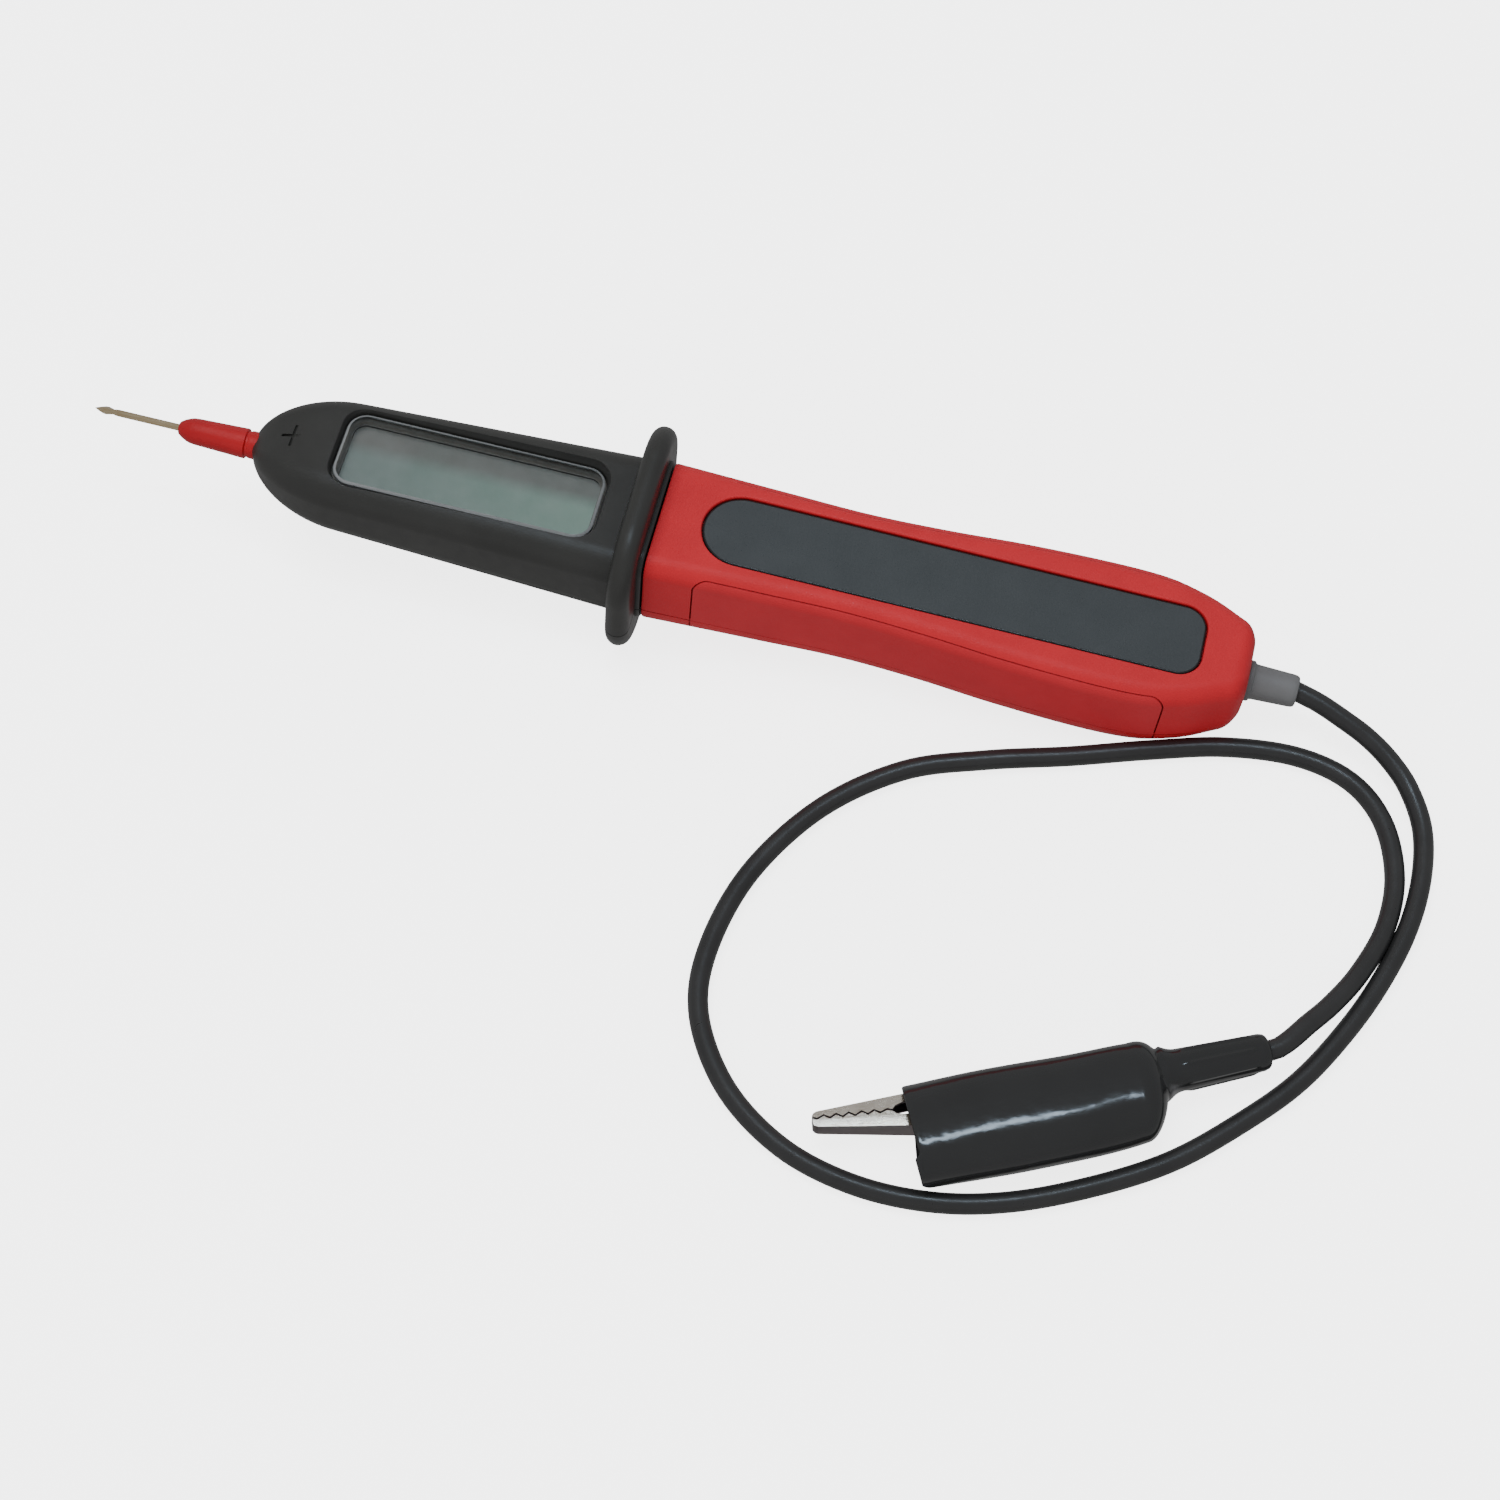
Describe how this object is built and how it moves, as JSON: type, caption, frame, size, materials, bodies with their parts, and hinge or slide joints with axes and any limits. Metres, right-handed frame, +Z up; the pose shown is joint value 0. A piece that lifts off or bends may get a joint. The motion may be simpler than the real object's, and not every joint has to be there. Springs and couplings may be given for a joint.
{
  "type": "circuit test light",
  "caption": "Hand-held needle probe with a digital read-out window, hand guard, long moulded handle and a flexible earth lead ending in a sprung alligator clip.",
  "frame": {"origin": "on the table, midway between the needle's tip and the strain relief's end, under the tester's own axis", "axes": "+X along the tester from the needle towards the lead, +Y to the far side of the tester, away from the lead's loop, +Z up, out of the display"},
  "size_m": [0.2637, 0.1348, 0.0329],
  "materials": {
    "needle_plating": "polished, lightly worn plating",
    "sleeve_red": "satin moulded",
    "contact_brass": "plain",
    "head_black": "fine satin grain",
    "screw_steel": "zinc plated",
    "window_clear": "clear acrylic",
    "lcd_grey": "liquid crystal display, switched off",
    "frame_black": "moulded",
    "elastomer_grey": "conductive strip",
    "board_green": "solder mask",
    "component_black": "moulded epoxy",
    "resistor_blue": "lacquered",
    "capacitor_blue": "sleeved can",
    "trimmer_blue": "moulded",
    "handle_red": "fine matt spark grain",
    "grip_red": "fine matt grain",
    "label_dark": "satin, fine grain",
    "relief_grey": "matt moulded",
    "lead_black": "satin gloss PVC sheath",
    "boot_vinyl": "dipped glossy vinyl",
    "jaw_nickel": "nickel plated sheet steel",
    "spring_steel": "plain wire",
    "conductor_copper": "stranded copper"
  },
  "bodies": {
    "tester": {"probe_needle": "needle_plating", "probe_sleeve": "sleeve_red", "probe_socket": "contact_brass", "contact_strip": "contact_brass", "head_upper_housing": "head_black", "head_lower_housing": "head_black", "head_screw_1": "screw_steel", "head_screw_2": "screw_steel", "lcd_window": "window_clear", "lcd_panel": "lcd_grey", "lcd_frame": "frame_black", "elastomer_near": "elastomer_grey", "elastomer_far": "elastomer_grey", "circuit_board": "board_green", "meter_chip": "component_black", "series_resistor": "resistor_blue", "protection_diode": "component_black", "filter_capacitor": "capacitor_blue", "calibration_trimmer": "trimmer_blue", "lead_lug": "contact_brass", "handle_upper_cover": "handle_red", "handle_lower_cover": "handle_red", "handle_screw_1": "screw_steel", "handle_screw_2": "screw_steel", "grip_inlay_near": "grip_red", "grip_inlay_far": "grip_red", "label_plate": "label_dark", "strain_relief": "relief_grey", "inner_lead": "lead_black", "test_lead": "lead_black", "clip_boot": "boot_vinyl", "clip_fixed_jaw": "jaw_nickel", "clip_pivot_pin": "jaw_nickel", "clip_spring": "spring_steel", "clip_conductor": "conductor_copper", "clip_lead_end": "lead_black"},
    "moving_jaw": {"clip_moving_jaw": "jaw_nickel"}
  },
  "joints": [
    {"name": "clip_jaw", "type": "hinge", "parent": "tester", "child": "moving_jaw", "pos_m": [0.06991, -0.09772, 0.0063], "axis": [0, 0, 1], "range_deg": [0, 18], "stiffness_Nm_per_rad": 0.03, "springref_deg": -17.19, "deforming": ["clip_spring"]}
  ]
}
